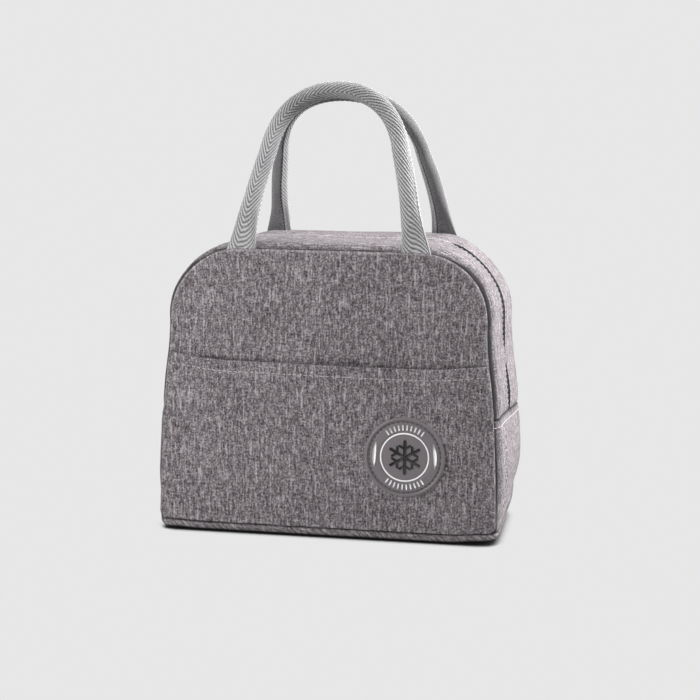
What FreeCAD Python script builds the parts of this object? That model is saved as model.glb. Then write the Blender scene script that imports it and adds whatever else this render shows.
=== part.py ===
import FreeCAD, Part

import os

import Sketcher
from FreeCAD import Placement, Rotation, Vector

# An insulated fabric lunch bag with two carrying handles, a front slip pocket and a zip that runs
# round the upper half. +Z is up, the front faces -Y, +X is to the right, and the origin is the
# centre of the base on the floor. Each wall is three layers: woven skin, foam and foil lining.
# The upper half folds open along the height where the zip ends, as a front and a rear flap.

SIZES = {
    # outer shape
    "half_width": 110.0,
    "half_depth": 62.0,
    "bag_height": 184.0,
    "side_lean": 2.6,
    "top_radius": 46.0,
    "fold_height": 80.0,
    "body_gap": 0.3,
    # layers
    "skin": 0.9,
    "tape_layer": 0.6,
    "foam": 3.0,
    "lining": 0.4,
    "binding": 2.6,
    # base tray
    "tray_height": 6.0,
    "tray_round": 5.0,
    # front pocket
    "pocket_mouth": 115.0,
    "pocket_room": 5.5,
    "pocket_hem": 2.0,
    # zip
    "coil_gap": 0.6,
    "coil_edge": 2.2,
    "coil_top": 0.3,
    "coil_bottom": 1.4,
    "tape_reach": 14.0,
    "foam_edge": 1.9,
    "stop_length": 2.5,
    "stop_rise": 0.25,
    # slider and pull, in the slider's own frame: x = 0 is the outer surface, -x points outwards
    "slider_height": 90.0,
    "slider_length": 9.0,
    "slider_half_width": 4.0,
    "slider_clearance": 1.1,
    "slider_plate": 1.3,
    "slider_post": 0.3,
    "slider_foot_depth": 1.9,
    "slider_foot": 0.8,
    "slider_foot_half_width": 1.5,
    "bridge_rise": 3.0,
    "bridge_half_length": 3.0,
    "bridge_half_width": 1.0,
    "eye_floor": 0.5,
    "eye_height": 1.7,
    "eye_half_length": 1.6,
    "pull_bar": 0.5,
    "pull_half_width": 3.0,
    "pull_window": 2.0,
    "pull_window_length": 5.5,
    "pull_length": 22.0,
    # badge
    "badge_radius": 24.8,
    "badge_across": 51.5,
    "badge_height": 54.4,
    "badge_plate": 1.5,
    "badge_rim": 2.2,
    "badge_rim_rise": 0.7,
    # handles
    "handle_base": 186.0,
    "handle_offset": 64.0,
    "front_handle_spread": 55.0,
    "front_handle_lean": 9.7,
    "front_handle_height": 103.5,
    "front_handle_tilt": 21.0,
    "rear_handle_spread": 57.5,
    "rear_handle_lean": 5.3,
    "rear_handle_height": 118.5,
    "rear_handle_tilt": 38.5,
    "webbing_radius": 5.6,
    "core_room": 3.4,
    "core_radius": 3.2,
    "handle_tab_half_width": 9.0,
    "handle_tab_thickness": 3.0,
    "handle_tab_height": 14.0,
    "tube_start": 10.0,
    "core_start": 14.5,
}

# Expressions on the sheet, used again and again below.
LEAN = "Sizes.side_lean"
FRONT = "Sizes.half_depth"
FOAM_FACE = "(Sizes.half_depth - Sizes.skin)"
LINING_FACE = "(Sizes.half_depth - Sizes.skin - Sizes.foam)"
CAVITY_FACE = "(Sizes.half_depth - Sizes.skin - Sizes.foam - Sizes.lining)"
FOAM_INSET = "(Sizes.skin + Sizes.tape_layer)"
LINING_INSET = "(Sizes.skin + Sizes.tape_layer + Sizes.foam)"
CAVITY_INSET = "(Sizes.skin + Sizes.tape_layer + Sizes.foam + Sizes.lining)"
BINDING_INSET = "(Sizes.skin + Sizes.tape_layer + Sizes.foam + Sizes.lining + Sizes.binding)"
BELOW_FOLD = "(Sizes.fold_height - Sizes.body_gap / 2)"
ABOVE_FOLD = "(Sizes.fold_height + Sizes.body_gap / 2)"
LINING_FLOOR = "(Sizes.skin + Sizes.foam)"
CAVITY_FLOOR = "(Sizes.skin + Sizes.foam + Sizes.lining)"
ARC_HEIGHT = "(Sizes.bag_height - Sizes.top_radius)"
ARC_ACROSS = f"(Sizes.half_width - (Sizes.top_radius + {ARC_HEIGHT} * sin({LEAN})) / cos({LEAN}))"
POCKET_FACE = "(Sizes.half_depth + Sizes.pocket_room + Sizes.skin)"

doc = FreeCAD.newDocument("lunch_bag")
sheet = doc.addObject("Spreadsheet::Sheet", "Sizes")
for row, (alias, size) in enumerate(SIZES.items(), start=1):
    sheet.set(f"A{row}", alias)
    sheet.set(f"B{row}", str(size))
    sheet.setAlias(f"B{row}", alias)
doc.recompute()

parts = []


def value(expression):
    """The number that an expression on the sheet has now."""
    return float(sheet.evalExpression(str(expression)))


def negative(expression):
    return f"-({expression})"


def mirrored(point):
    """The same point on the other side of the middle plane."""
    across, up = point
    return negative(across), up


def side_point(inset, height):
    """A point on the leaning right side, moved inwards by inset."""
    across = f"Sizes.half_width - ({inset}) / cos({LEAN}) - ({height}) * tan({LEAN})"
    return across, height


def shoulder_point(inset):
    """Where the leaning side meets the round top corner."""
    radius = f"(Sizes.top_radius - ({inset}))"
    return f"{ARC_ACROSS} + {radius} * cos({LEAN})", f"{ARC_HEIGHT} + {radius} * sin({LEAN})"


def crown_point(inset):
    """Where the round top corner meets the flat top."""
    return ARC_ACROSS, f"Sizes.bag_height - ({inset})"


def new_body(label):
    body = doc.addObject("PartDesign::Body", label)
    body.Label = label
    parts.append(body)
    return body


def new_sketch(body, name, role, offset="0"):
    """A sketch on one of the body's own origin planes, moved along the plane's normal."""
    sketch = body.newObject("Sketcher::SketchObject", name)
    plane = next(item for item in body.Origin.OriginFeatures if item.Role == role)
    sketch.AttachmentSupport = [(plane, "")]
    sketch.MapMode = "FlatFace"
    sketch.setExpression("AttachmentOffset.Base.z", str(offset))
    return sketch


def bind(sketch, kind, place, expression):
    """One dimension of a sketch, bound to the sheet."""
    index = sketch.addConstraint(Sketcher.Constraint(kind, *place, value(expression)))
    sketch.setExpression(f"Constraints[{index}]", str(expression))


def pin(sketch, edge, position, point):
    """Hold one end of an edge at a point measured from the sketch's origin."""
    bind(sketch, "DistanceX", (-1, 1, edge, position), point[0])
    bind(sketch, "DistanceY", (-1, 1, edge, position), point[1])


def add_edge(sketch, start, end, arc):
    """A line, or the short arc of a given (centre, radius). Returns the edge and its two ends."""
    first = Vector(value(start[0]), value(start[1]), 0)
    last = Vector(value(end[0]), value(end[1]), 0)
    if arc is None:
        return sketch.addGeometry(Part.LineSegment(first, last)), 1, 2
    centre = Vector(value(arc[0][0]), value(arc[0][1]), 0)
    middle = centre + ((first + last) * 0.5 - centre).normalize() * first.distanceToPoint(centre)
    anticlockwise = (first - centre).cross(last - centre).z > 0
    ends = (first, last) if anticlockwise else (last, first)
    edge = sketch.addGeometry(Part.Arc(ends[0], middle, ends[1]))
    return (edge, 1, 2) if anticlockwise else (edge, 2, 1)


def draw(sketch, points, arcs=None, closed=True):
    """Edges from point to point. arcs maps a point's number to the arc that leaves it."""
    arcs = arcs or {}
    count = len(points) if closed else len(points) - 1
    edges = []
    for number in range(count):
        following = points[(number + 1) % len(points)]
        edges.append(add_edge(sketch, points[number], following, arcs.get(number)))
    for number, (edge, start, end) in enumerate(edges):
        pin(sketch, edge, start, points[number])
        if number in arcs:
            bind(sketch, "Radius", (edge,), arcs[number][1])
        if number + 1 < count or closed:
            following_edge, following_start, _ = edges[(number + 1) % count]
            joint = (edge, end, following_edge, following_start)
            sketch.addConstraint(Sketcher.Constraint("Coincident", *joint))
        else:
            pin(sketch, edge, end, points[number + 1])
    return sketch


def pad(body, sketch, name, length, midplane=False):
    feature = body.newObject("PartDesign::Pad", name)
    feature.Profile = sketch
    feature.setExpression("Length", str(length))
    feature.Midplane = midplane


def pocket(body, sketch, name, length, reverse=False):
    feature = body.newObject("PartDesign::Pocket", name)
    feature.Profile = sketch
    feature.setExpression("Length", str(length))
    feature.Reversed = reverse
    return feature


def slab(label, points, arcs, back, thickness):
    """A plate with an upright outline, from y = -back forwards to y = -(back + thickness)."""
    body = new_body(label)
    sketch = draw(new_sketch(body, f"{label}_outline", "XZ_Plane", back), points, arcs)
    pad(body, sketch, f"{label}_pad", thickness)
    return body


def arch_points(inset, foot):
    """The right foot, over the top, to the left foot, anticlockwise."""
    right = [side_point(inset, foot), shoulder_point(inset), crown_point(inset)]
    return right + [mirrored(point) for point in reversed(right)]


def corner_arcs(inset, reverse=False):
    """The two round top corners of an arch, by the number of the point that each leaves."""
    radius = f"Sizes.top_radius - ({inset})"
    right = ((ARC_ACROSS, ARC_HEIGHT), radius)
    left = ((negative(ARC_ACROSS), ARC_HEIGHT), radius)
    return {1: left, 3: right} if reverse else {1: right, 3: left}


def arch_panel(label, inset, back, thickness, foot=ABOVE_FOLD):
    """A flat wall of the upper half."""
    return slab(label, arch_points(inset, foot), corner_arcs(inset), back, thickness)


def arch_strip(label, outer, inner, back, thickness):
    """A strip that runs up one side, over the top and down the other."""
    outside = arch_points(outer, ABOVE_FOLD)
    inside = list(reversed(arch_points(inner, ABOVE_FOLD)))
    arcs = corner_arcs(outer)
    for number, arc in corner_arcs(inner, reverse=True).items():
        arcs[len(outside) + number] = arc
    return slab(label, outside + inside, arcs, back, thickness)


def lower_outline(inset, floor, top=BELOW_FOLD):
    right = [side_point(inset, floor), side_point(inset, top)]
    return right + [mirrored(point) for point in reversed(right)]


def lower_panel(label, inset, floor, back, thickness):
    """A flat wall of the lower half."""
    return slab(label, lower_outline(inset, floor), {}, back, thickness)


def side_panel(label, outer, inner, floor, reach, on_right):
    """A layer of a lower side wall, as deep as reach each way from the middle."""
    points = [side_point(inner, floor), side_point(outer, floor)]
    points += [side_point(outer, BELOW_FOLD), side_point(inner, BELOW_FOLD)]
    if not on_right:
        points = [mirrored(point) for point in reversed(points)]
    return slab(label, points, {}, negative(reach), f"2 * ({reach})")


def rectangle(half_across, half_up):
    right = [(half_across, negative(half_up)), (half_across, half_up)]
    return right + [mirrored(point) for point in reversed(right)]


def base_plate(label, half_across, half_deep, floor, thickness):
    """A level layer of the base."""
    body = new_body(label)
    sketch = new_sketch(body, f"{label}_outline", "XY_Plane", floor)
    draw(sketch, rectangle(half_across, half_deep))
    pad(body, sketch, f"{label}_pad", thickness)
    return body


def edges_where(feature, test):
    """The names of a feature's edges that pass a test."""
    edges = enumerate(feature.Shape.Edges, start=1)
    return [f"Edge{number}" for number, edge in edges if test(edge)]


def round_edges(body, base, name, test, radius):
    """Fillet the edges of a finished feature that pass a test."""
    doc.recompute()
    fillet = body.newObject("PartDesign::Fillet", name)
    fillet.Base = (base, edges_where(base, test))
    fillet.setExpression("Radius", radius)
    return fillet


def base_tray():
    """The bottom cloth: a shallow tray whose rounded edge turns up to the seam with the walls."""
    body = base_plate("base_panel", "Sizes.half_width", FRONT, "0", "Sizes.tray_height")
    upright = round_edges(
        body, body.Tip, "tray_corners",
        lambda edge: edge.BoundBox.ZLength > value("Sizes.tray_height") / 2, "Sizes.tray_round",
    )
    rounded = round_edges(
        body, upright, "tray_rounding",
        lambda edge: edge.BoundBox.ZMax < value("Sizes.skin") / 2, "Sizes.tray_round - Sizes.skin / 2",
    )
    doc.recompute()
    faces = rounded.Shape.Faces
    top = max(range(len(faces)), key=lambda number: faces[number].CenterOfMass.z)
    shell = body.newObject("PartDesign::Thickness", "tray_shell")
    shell.Base = (rounded, [f"Face{top + 1}"])
    shell.setExpression("Value", "Sizes.skin")
    shell.Reversed = True


def front_pocket(label, floor, top, open_floor):
    """A slip pocket's cloth, standing off the wall and joined to it along its sides."""
    body = slab(label, lower_outline("0", floor, top), {}, FRONT, f"{POCKET_FACE} - {FRONT}")
    low = f"{floor} - 1" if open_floor else f"{floor} + Sizes.pocket_hem"
    sketch = new_sketch(body, f"{label}_room", "XZ_Plane", FRONT)
    draw(sketch, lower_outline("Sizes.pocket_hem", low, f"{top} + 1"))
    doc.recompute()
    before = body.Shape.Volume
    pocket(body, sketch, f"{label}_room_cut", "Sizes.pocket_room", reverse=True)
    doc.recompute()
    if body.Shape.Volume > 0.5 * before:
        raise RuntimeError(f"{label}: the pocket's room was not cut")
    return body


def badge():
    """A round moulded rubber patch with a raised rim."""
    body = new_body("round_badge")
    centre = ("Sizes.badge_across", "Sizes.badge_height")
    plate = new_sketch(body, "badge_plate_outline", "XZ_Plane", POCKET_FACE)
    add_circle(plate, centre, "Sizes.badge_radius")
    pad(body, plate, "badge_plate_pad", "Sizes.badge_plate")
    rim = new_sketch(body, "badge_rim_outline", "XZ_Plane", f"{POCKET_FACE} + Sizes.badge_plate")
    add_circle(rim, centre, "Sizes.badge_radius")
    add_circle(rim, centre, "Sizes.badge_radius - Sizes.badge_rim")
    pad(body, rim, "badge_rim_pad", "Sizes.badge_rim_rise")


def add_circle(sketch, centre, radius):
    middle = Vector(value(centre[0]), value(centre[1]), 0)
    circle = sketch.addGeometry(Part.Circle(middle, Vector(0, 0, 1), value(radius)))
    pin(sketch, circle, 3, centre)
    bind(sketch, "Radius", (circle,), radius)


def handle_point(name, height, across=0):
    """A point beside the centre line of a handle's right leg, in the handle's own plane."""
    lean = f"Sizes.{name}_handle_lean"
    drift = f"({height}) * tan({lean})"
    return f"Sizes.{name}_handle_spread - {drift} + ({across}) / cos({lean})", height


def tilt_sketch(sketch, name, outwards, rise):
    """Move a sketch to a handle's sewn line and lean it towards the middle of the bag."""
    angle = f"Sizes.{name}_handle_tilt" if name == "rear" else f"-Sizes.{name}_handle_tilt"
    turn = Rotation(Vector(1, 0, 0), value(angle))
    sketch.AttachmentOffset = Placement(Vector(), turn)
    sketch.setExpression("AttachmentOffset.Base.y", outwards)
    sketch.setExpression("AttachmentOffset.Base.z", rise)
    sketch.setExpression("AttachmentOffset.Rotation.Angle", angle)


def handle_plane(body, label, name):
    """A sketch in a handle's own plane, with its origin half way between the sewn ends."""
    sketch = new_sketch(body, label, "XZ_Plane")
    forwards = "Sizes.handle_offset" if name == "front" else "-Sizes.handle_offset"
    tilt_sketch(sketch, name, "Sizes.handle_base", forwards)
    return sketch


def handle_tube(body, label, name, start, radii):
    """A round tube that follows the handle: up one leg, over the top and down the other."""
    lean, spread = f"Sizes.{name}_handle_lean", f"Sizes.{name}_handle_spread"
    height, tilt = f"Sizes.{name}_handle_height", f"Sizes.{name}_handle_tilt"
    radius = f"(({spread} * cos({lean}) - {height} * sin({lean})) / (1 - sin({lean})))"
    centre = f"({height} - {radius})"
    foot = handle_point(name, start)
    turn = (f"{radius} * cos({lean})", f"{centre} + {radius} * sin({lean})")
    points = [foot, turn, ("0", height), mirrored(turn), mirrored(foot)]
    arc = (("0", centre), radius)
    path = handle_plane(body, f"{label}_path", name)
    draw(path, points, {1: arc, 2: arc}, closed=False)
    section = new_sketch(body, f"{label}_section", "XY_Plane")
    inwards = f"Sizes.handle_offset - ({start}) * sin({tilt})"
    across = f"-({inwards})" if name == "front" else inwards
    tilt_sketch(section, name, across, f"Sizes.handle_base + ({start}) * cos({tilt})")
    for size in radii:
        add_circle(section, (foot[0], "0"), size)
    doc.recompute()
    pipe = body.newObject("PartDesign::AdditivePipe", f"{label}_pipe")
    pipe.Profile = section
    pipe.Spine = path


def handle(name):
    """A webbing handle: a tube of webbing with flat sewn ends, and the filler cord inside it."""
    webbing = new_body(f"handle_webbing_{name}")
    tabs = [
        handle_point(name, "0", "Sizes.handle_tab_half_width"),
        handle_point(name, "Sizes.handle_tab_height", "Sizes.handle_tab_half_width"),
        handle_point(name, "Sizes.handle_tab_height", "-Sizes.handle_tab_half_width"),
        handle_point(name, "0", "-Sizes.handle_tab_half_width"),
    ]
    radii = ["Sizes.webbing_radius", "Sizes.core_room"]
    handle_tube(webbing, f"webbing_{name}", name, "Sizes.tube_start", radii)
    for side, corners in (("right", tabs), ("left", [mirrored(p) for p in reversed(tabs)])):
        outline = handle_plane(webbing, f"tab_{side}_{name}", name)
        draw(outline, corners)
        pad(webbing, outline, f"tab_{side}_{name}_pad", "Sizes.handle_tab_thickness", midplane=True)
    core = new_body(f"handle_core_{name}")
    handle_tube(core, f"core_{name}", name, "Sizes.core_start", ["Sizes.core_radius"])


def end_stop(label, on_right, near, far, low, high):
    """A small stop on the outside of the zip tape at one end of the coil."""
    points = [side_point("0", low), side_point("-Sizes.stop_rise", low)]
    points += [side_point("-Sizes.stop_rise", high), side_point("0", high)]
    if not on_right:
        points = [mirrored(point) for point in reversed(points)]
    return slab(label, points, {}, near, f"{far} - ({near})")


def place_on_left_side(body, rise="0", outwards="0"):
    """Stand a piece on the left side's outer surface, in line with the zip."""
    height = f"(Sizes.slider_height + {rise})"
    across, _ = mirrored(side_point("0", height))
    body.Placement = Placement(Vector(), Rotation(Vector(0, 1, 0), value(LEAN)))
    body.setExpression("Placement.Rotation.Angle", LEAN)
    body.setExpression("Placement.Base.x", f"{across} - ({outwards})")
    body.setExpression("Placement.Base.z", height)


def box_points(low_x, high_x, low_y, high_y):
    return [(low_x, low_y), (high_x, low_y), (high_x, high_y), (low_x, high_y)]


def slider():
    """The zip's slider: a plate outside the coil, a thin post between its halves and a foot."""
    body = new_body("zip_slider")
    half = "Sizes.slider_half_width"
    post = "Sizes.slider_post"
    foot = "Sizes.slider_foot_half_width"
    plate_out = "-(Sizes.slider_clearance + Sizes.slider_plate)"
    plate_in = "-Sizes.slider_clearance"
    foot_out = "Sizes.slider_foot_depth"
    foot_in = "Sizes.slider_foot_depth + Sizes.slider_foot"
    section = [(plate_out, negative(half)), (plate_in, negative(half))]
    section += [(plate_in, negative(post)), (foot_out, negative(post))]
    section += [(foot_out, negative(foot)), (foot_in, negative(foot))]
    section += [(across, negative(deep)) for across, deep in reversed(section)]
    outline = new_sketch(body, "slider_section", "XY_Plane")
    draw(outline, section)
    pad(body, outline, "slider_pad", "Sizes.slider_length", midplane=True)
    bridge_out = f"{plate_out} - Sizes.bridge_rise"
    bridge = new_sketch(body, "bridge_outline", "XZ_Plane")
    reach = "Sizes.bridge_half_length"
    draw(bridge, box_points(bridge_out, plate_out, negative(reach), reach))
    pad(body, bridge, "bridge_pad", "2 * Sizes.bridge_half_width", midplane=True)
    eye = new_sketch(body, "eye_outline", "XZ_Plane")
    eye_in = f"{plate_out} - Sizes.eye_floor"
    eye_reach = "Sizes.eye_half_length"
    draw(eye, box_points(f"{eye_in} - Sizes.eye_height", eye_in, negative(eye_reach), eye_reach))
    cut = pocket(body, eye, "eye_cut", "4 * Sizes.bridge_half_width")
    cut.Midplane = True
    place_on_left_side(body)


def pull():
    """The pull: a bar that hangs in the slider's eye, and a flat tab below it."""
    body = new_body("zip_pull")
    bar = "Sizes.pull_bar"
    eye_middle = "Sizes.slider_clearance + Sizes.slider_plate + Sizes.eye_floor + Sizes.eye_height / 2"
    side = "Sizes.pull_half_width"
    outline = new_sketch(body, "pull_outline", "YZ_Plane")
    draw(outline, box_points(negative(side), side, "-Sizes.pull_length", bar))
    pad(body, outline, "pull_pad", f"2 * {bar}", midplane=True)
    window = new_sketch(body, "pull_window_outline", "YZ_Plane")
    gap = "Sizes.pull_window"
    draw(window, box_points(negative(gap), gap, "-Sizes.pull_window_length", negative(bar)))
    cut = pocket(body, window, "pull_window_cut", f"4 * {bar}")
    cut.Midplane = True
    place_on_left_side(body, outwards=f"({eye_middle}) * cos({LEAN})", rise=f"({eye_middle}) * sin({LEAN})")


def lower_half():
    """The base, the side walls and the lower halves of the front and rear walls."""
    base_tray()
    flat_across = "Sizes.half_width - Sizes.tray_round"
    flat_deep = f"{FRONT} - Sizes.tray_round"
    base_plate("foam_base", flat_across, flat_deep, "Sizes.skin", "Sizes.foam")
    base_plate("lining_base", flat_across, flat_deep, LINING_FLOOR, "Sizes.lining")
    for side in ("left", "right"):
        on_right = side == "right"
        side_panel(f"side_panel_{side}", "0", "Sizes.skin", "Sizes.tray_height", FOAM_FACE, on_right)
        side_panel(f"foam_side_{side}", FOAM_INSET, LINING_INSET, "Sizes.tray_height", LINING_FACE, on_right)
        side_panel(f"lining_side_{side}", LINING_INSET, CAVITY_INSET, CAVITY_FLOOR, CAVITY_FACE, on_right)
    for name, sign in (("front", 1), ("rear", -1)):
        skin, foam = layer(sign, FOAM_FACE, "Sizes.skin"), layer(sign, LINING_FACE, "Sizes.foam")
        lower_panel(f"{name}_panel_lower", "0", "Sizes.tray_height", *skin)
        lower_panel(f"foam_{name}_lower", "Sizes.skin", "Sizes.tray_height", *foam)
        lining = layer(sign, CAVITY_FACE, "Sizes.lining")
        lower_panel(f"lining_{name}_lower", LINING_INSET, CAVITY_FLOOR, *lining)
        binding_lower(name, sign)
    front_pocket("front_pocket_lower", "Sizes.tray_height", BELOW_FOLD, open_floor=False)
    badge()
    end_stop("zip_end_stop_right", True, "-Sizes.coil_edge", "Sizes.coil_edge",
             f"{BELOW_FOLD} - Sizes.stop_length", BELOW_FOLD)


def layer(sign, inner_face, thickness):
    """Where a wall's layer starts, and how thick it is, on the front (1) or the rear (-1)."""
    if sign > 0:
        return inner_face, thickness
    return f"-({inner_face} + {thickness})", thickness


def binding_lower(name, sign):
    """The tape over the inside seam of the lower half: up one side, along the base, up the other."""
    raised = f"{CAVITY_FLOOR} + Sizes.binding"
    points = [side_point(CAVITY_INSET, CAVITY_FLOOR), side_point(CAVITY_INSET, BELOW_FOLD)]
    points += [side_point(BINDING_INSET, BELOW_FOLD), side_point(BINDING_INSET, raised)]
    points += [mirrored(point) for point in reversed(points)]
    inner_face = f"({CAVITY_FACE} - Sizes.binding)"
    slab(f"binding_{name}_lower", points, {}, *layer(sign, inner_face, "Sizes.binding"))


def flap(name, sign):
    """One half of the upper bag: its wall, and its half of the strip that the zip runs along."""
    strip_reach = f"{FOAM_FACE} - Sizes.coil_edge"
    arch_panel(f"{name}_panel_upper", "0", *layer(sign, FOAM_FACE, "Sizes.skin"))
    arch_panel(f"foam_{name}_upper", "Sizes.skin", *layer(sign, LINING_FACE, "Sizes.foam"))
    arch_panel(f"lining_{name}_upper", LINING_INSET, *layer(sign, CAVITY_FACE, "Sizes.lining"))
    arch_strip(f"zip_gusset_{name}", "0", "Sizes.skin", *layer(sign, "Sizes.coil_edge", strip_reach))
    arch_strip(f"zip_tape_{name}", "Sizes.skin", FOAM_INSET,
               *layer(sign, "Sizes.coil_edge", "Sizes.tape_reach - Sizes.coil_edge"))
    arch_strip(f"zip_coil_{name}", "Sizes.coil_top", "Sizes.coil_bottom",
               *layer(sign, "Sizes.coil_gap", "Sizes.coil_edge - Sizes.coil_gap"))
    arch_strip(f"foam_gusset_{name}", FOAM_INSET, LINING_INSET,
               *layer(sign, "Sizes.foam_edge", f"{LINING_FACE} - Sizes.foam_edge"))
    arch_strip(f"lining_gusset_{name}", LINING_INSET, CAVITY_INSET,
               *layer(sign, "Sizes.foam_edge", f"{CAVITY_FACE} - Sizes.foam_edge"))
    arch_strip(f"binding_{name}_upper", CAVITY_INSET, BINDING_INSET,
               *layer(sign, f"({CAVITY_FACE} - Sizes.binding)", "Sizes.binding"))
    near = "Sizes.coil_gap" if sign > 0 else "-Sizes.coil_edge"
    far = "Sizes.coil_edge" if sign > 0 else "-Sizes.coil_gap"
    end_stop(f"zip_top_stop_{name}", False, near, far,
             ABOVE_FOLD, f"{ABOVE_FOLD} + Sizes.stop_length")


def check_document():
    """Stop before anything is written if an object failed or a sub-part's shape is not sound."""
    for item in doc.Objects:
        if {"Invalid", "Error"} & set(item.State):
            raise RuntimeError(f"{item.Label}: {item.State}")
    for item in parts:
        if item.Shape.isNull() or not item.Shape.isValid():
            raise RuntimeError(f"{item.Label}: its shape is not valid")
        if len(item.Shape.Solids) != 1:
            raise RuntimeError(f"{item.Label}: {len(item.Shape.Solids)} solids")


lower_half()
flap("front", 1)
flap("rear", -1)
front_pocket("front_pocket_upper", ABOVE_FOLD, "Sizes.pocket_mouth", open_floor=True)
handle("front")
handle("rear")
slider()
pull()
doc.recompute()
check_document()
os.makedirs("parts", exist_ok=True)
for part in parts:
    part.Shape.exportStep(f"parts/{part.Label}.step")
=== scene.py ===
from math import atan, atan2, cos, pi, radians, sin, tan

import bmesh
import bpy
import numpy as np
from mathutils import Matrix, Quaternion, Vector
from mathutils.bvhtree import BVHTree


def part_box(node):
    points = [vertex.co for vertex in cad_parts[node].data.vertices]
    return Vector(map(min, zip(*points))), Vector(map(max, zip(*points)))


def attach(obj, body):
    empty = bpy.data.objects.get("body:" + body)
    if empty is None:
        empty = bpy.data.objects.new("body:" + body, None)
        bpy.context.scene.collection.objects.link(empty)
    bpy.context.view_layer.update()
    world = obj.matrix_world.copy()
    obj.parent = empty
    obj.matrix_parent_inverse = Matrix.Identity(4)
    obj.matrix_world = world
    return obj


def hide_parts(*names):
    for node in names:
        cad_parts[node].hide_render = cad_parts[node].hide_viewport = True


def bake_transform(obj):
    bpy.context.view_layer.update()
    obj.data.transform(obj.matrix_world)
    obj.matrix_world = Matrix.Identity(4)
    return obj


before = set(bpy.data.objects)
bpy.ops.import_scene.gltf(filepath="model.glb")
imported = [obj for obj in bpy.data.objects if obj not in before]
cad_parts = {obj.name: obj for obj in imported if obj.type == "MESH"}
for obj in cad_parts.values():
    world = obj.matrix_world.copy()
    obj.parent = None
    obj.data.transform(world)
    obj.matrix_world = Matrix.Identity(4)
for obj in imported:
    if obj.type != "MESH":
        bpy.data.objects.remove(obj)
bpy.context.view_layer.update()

# A soft insulated lunch bag: walls and strips are built as rolled-edge cloth panels in metres, in
# the same frame as the CAD. Every place comes from the CAD nodes' boxes.
MM = 0.001
HALF_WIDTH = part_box("base_panel")[1].x
HALF_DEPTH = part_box("rear_panel_lower")[1].y
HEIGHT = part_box("zip_gusset_front")[1].z
FLOOR_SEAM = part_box("base_panel")[1].z
FOLD = (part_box("front_panel_lower")[1].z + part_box("front_panel_upper")[0].z) / 2
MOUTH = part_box("front_pocket_upper")[1].z
LEAN = atan((HALF_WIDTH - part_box("front_panel_upper")[1].x) / FOLD)
TOP_RADIUS = 46 * MM
FOOT_RADIUS = 6 * MM
ZIP_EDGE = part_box("zip_gusset_rear")[0].y - 0.6 * MM
ARC_Z = HEIGHT - TOP_RADIUS
ARC_X = HALF_WIDTH - (TOP_RADIUS + ARC_Z * sin(LEAN)) / cos(LEAN)
SIDE_RUN = (ARC_Z + TOP_RADIUS * sin(LEAN) - FOLD) / cos(LEAN)
ARC_RUN = TOP_RADIUS * (pi / 2 - LEAN)
STRIP_LENGTH = 2 * (SIDE_RUN + ARC_RUN + ARC_X)
TUCK_RADIUS = 34 * MM
SLIDER_REACH = 78 * MM

# ---- numbers and fields


def smooth(value, width=1.0):
    """A soft step from 0 to 1 while value goes from 0 to width."""
    value = np.clip(value / width, 0.0, 1.0)
    return value * value * (3 - 2 * value)


def hump(distance, width):
    return np.exp(-(distance / width) ** 2)


def fade(distance, width):
    return np.exp(-np.maximum(distance, 0) / width)


def from_corners(corner, fa, fb):
    """Interpolate between the four corners of a grid's cell."""
    low = corner(0, 0) * (1 - fa) + corner(1, 0) * fa
    high = corner(0, 1) * (1 - fa) + corner(1, 1) * fa
    return low * (1 - fb) + high * fb


def noise(u, v, size, seed, cells=61):
    """Smooth value noise between -1 and 1, with features about as large as size."""
    lattice = np.random.RandomState(seed).rand(cells, cells) * 2 - 1
    a, b = np.asarray(u) / size + 200.0, np.asarray(v) / size + 200.0
    i, j = np.floor(a).astype(int), np.floor(b).astype(int)
    return from_corners(lambda di, dj: lattice[(i + di) % cells, (j + dj) % cells], smooth(a - i), smooth(b - j))


def wall_inset(x, z, low):
    """Distance from a point of the front or rear wall to the wall's nearest seam."""
    across = np.abs(x)
    side = (HALF_WIDTH - across - z * tan(LEAN)) * cos(LEAN)
    flat = np.minimum(np.minimum(side, HEIGHT - z), z - low)
    corner = TOP_RADIUS - np.hypot(across - ARC_X, z - ARC_Z)
    return np.where((across > ARC_X) & (z > ARC_Z), np.minimum(corner, z - low), flat)


def strip_frame(along):
    """Centre line of the zip strip: x, z and the outward normal, from the right foot to the left."""
    along = np.asarray(along, float)
    left = along > STRIP_LENGTH / 2
    run = np.where(left, STRIP_LENGTH - along, along)
    angle = LEAN + np.clip((run - SIDE_RUN) / TOP_RADIUS, 0, pi / 2 - LEAN)
    on_side = np.minimum(run - SIDE_RUN, 0)
    on_top = np.maximum(run - SIDE_RUN - ARC_RUN, 0)
    x = ARC_X + TOP_RADIUS * np.cos(angle) - on_side * sin(LEAN) - on_top
    z = ARC_Z + TOP_RADIUS * np.sin(angle) + on_side * cos(LEAN)
    flip = np.where(left, -1.0, 1.0)
    return x * flip, z, np.cos(angle) * flip, np.sin(angle)


# ---- the inflated shell

VOXEL = 5 * MM
SWELL_CAP = 6 * MM
HELD = 3 * MM
PROBE = 15 * MM
FIELD_STEP = 4 * MM
CLOTH = dict(quality=6, mass=0.3, tension_stiffness=25, compression_stiffness=25, shear_stiffness=8,
             bending_stiffness=4, vertex_group_mass="seams", use_pressure=True, uniform_pressure_force=4.0)


def apply_modifiers(piece):
    view = bpy.context.evaluated_depsgraph_get()
    mesh = bpy.data.meshes.new_from_object(piece.evaluated_get(view))
    piece.modifiers.clear()
    old, piece.data = piece.data, mesh
    bpy.data.meshes.remove(old)


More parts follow.
